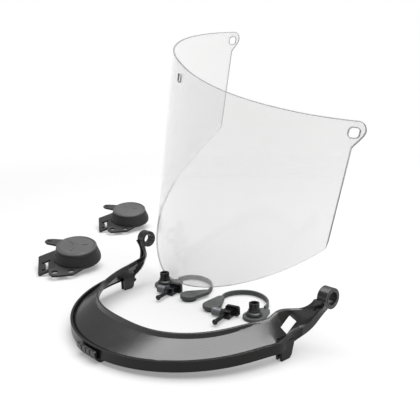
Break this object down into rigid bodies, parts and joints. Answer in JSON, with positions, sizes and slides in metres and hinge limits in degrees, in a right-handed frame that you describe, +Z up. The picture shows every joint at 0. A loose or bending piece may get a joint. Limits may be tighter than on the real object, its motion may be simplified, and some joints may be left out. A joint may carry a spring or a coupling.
{
  "type": "face shield",
  "caption": "Helmet face shield laid out as a kit: curved clear visor, horseshoe brim frame with pivot eyes, helmet slot caps, retaining straps and push pins.",
  "frame": {"origin": "middle of the front latch's underside, on the table", "axes": "+X along the eye axis of the brim frame, +Y from the brim's front to its rear, +Z up"},
  "size_m": [0.4407, 0.2744, 0.2324],
  "materials": {
    "frame_shell": "satin moulded dark grey",
    "clear_sheet": "clear polycarbonate sheet",
    "bush_grey": "plain",
    "cap_plastic": "fine matt texture",
    "soft_grey": "soft matt",
    "ring_grey": "satin",
    "collar_grey": "satin",
    "black_nylon": "glossy black"
  },
  "bodies": {
    "frame": {"brim_frame": "frame_shell", "front_latch": "frame_shell"},
    "bush_left": {"pivot_bush_left": "bush_grey"},
    "bush_right": {"pivot_bush_right": "bush_grey"},
    "visor": {"visor_lens": "clear_sheet"},
    "cap_front": {"cap_plate_front": "cap_plastic", "cap_housing_front": "cap_plastic", "cap_disc_front": "cap_plastic"},
    "hub_front": {"cap_hub_front": "black_nylon"},
    "cap_rear": {"cap_plate_rear": "cap_plastic", "cap_housing_rear": "cap_plastic", "cap_disc_rear": "cap_plastic"},
    "hub_rear": {"cap_hub_rear": "black_nylon"},
    "strap_left": {"strap_pad_left": "soft_grey", "pad_foot_left": "black_nylon", "strap_band_left": "soft_grey", "strap_dish_left": "soft_grey", "strap_ring_left": "ring_grey"},
    "knob_left": {"strap_knob_left": "black_nylon"},
    "pin_left": {"pin_wing_left": "black_nylon", "pin_shank_left": "black_nylon", "pin_collar_left": "collar_grey"},
    "strap_right": {"strap_pad_right": "soft_grey", "pad_foot_right": "black_nylon", "strap_band_right": "soft_grey", "strap_dish_right": "soft_grey", "strap_ring_right": "ring_grey"},
    "knob_right": {"strap_knob_right": "black_nylon"},
    "pin_right": {"pin_wing_right": "black_nylon", "pin_shank_right": "black_nylon", "pin_collar_right": "collar_grey"}
  },
  "joints": [
    {"name": "flip_right", "type": "hinge", "parent": "frame", "child": "bush_right", "pos_m": [0.1081, 0.126, 0.039], "axis": [1, 0, 0], "range_deg": [0, 90]},
    {"name": "flip_left", "type": "hinge", "parent": "frame", "child": "bush_left", "pos_m": [-0.1081, 0.126, 0.039], "axis": [1, 0, 0], "range_deg": [0, 90]},
    {"name": "visor_lift", "type": "slide", "parent": "frame", "child": "visor", "axis": [0, 0, 1], "range_m": [0, 0.26]},
    {"name": "cap_front_lift", "type": "slide", "parent": "frame", "child": "cap_front", "axis": [0, 0, 1], "range_m": [0, 0.12]},
    {"name": "hub_front_turn", "type": "hinge", "parent": "cap_front", "child": "hub_front", "pos_m": [-0.183, 0.0913, 0.0104], "axis": [0.1981, -0.106, 0.9744], "range_deg": [0, 90]},
    {"name": "cap_rear_lift", "type": "slide", "parent": "frame", "child": "cap_rear", "axis": [0, 0, 1], "range_m": [0, 0.12]},
    {"name": "hub_rear_turn", "type": "hinge", "parent": "cap_rear", "child": "hub_rear", "pos_m": [-0.278, 0.2201, 0.0106], "axis": [0.2031, -0.124, 0.9713], "range_deg": [0, 90]},
    {"name": "strap_left_lift", "type": "slide", "parent": "frame", "child": "strap_left", "axis": [0, 0, 1], "range_m": [0, 0.08]},
    {"name": "knob_left_turn", "type": "hinge", "parent": "strap_left", "child": "knob_left", "pos_m": [-0.076, 0.122, 0.006], "axis": [0, 0, 1], "continuous": true},
    {"name": "pin_left_lift", "type": "slide", "parent": "frame", "child": "pin_left", "axis": [0, 0, 1], "range_m": [0, 0.07]},
    {"name": "strap_right_lift", "type": "slide", "parent": "frame", "child": "strap_right", "axis": [0, 0, 1], "range_m": [0, 0.08]},
    {"name": "knob_right_turn", "type": "hinge", "parent": "strap_right", "child": "knob_right", "pos_m": [0.0345, 0.1275, 0.006], "axis": [0, 0, 1], "continuous": true},
    {"name": "pin_right_lift", "type": "slide", "parent": "frame", "child": "pin_right", "axis": [0, 0, 1], "range_m": [0, 0.07]}
  ],
  "couplings": [
    {"joint": "strap_left_lift", "follows": "visor_lift", "ratio": 0.3},
    {"joint": "strap_right_lift", "follows": "visor_lift", "ratio": 0.3},
    {"joint": "flip_left", "follows": "flip_right", "ratio": 1}
  ]
}
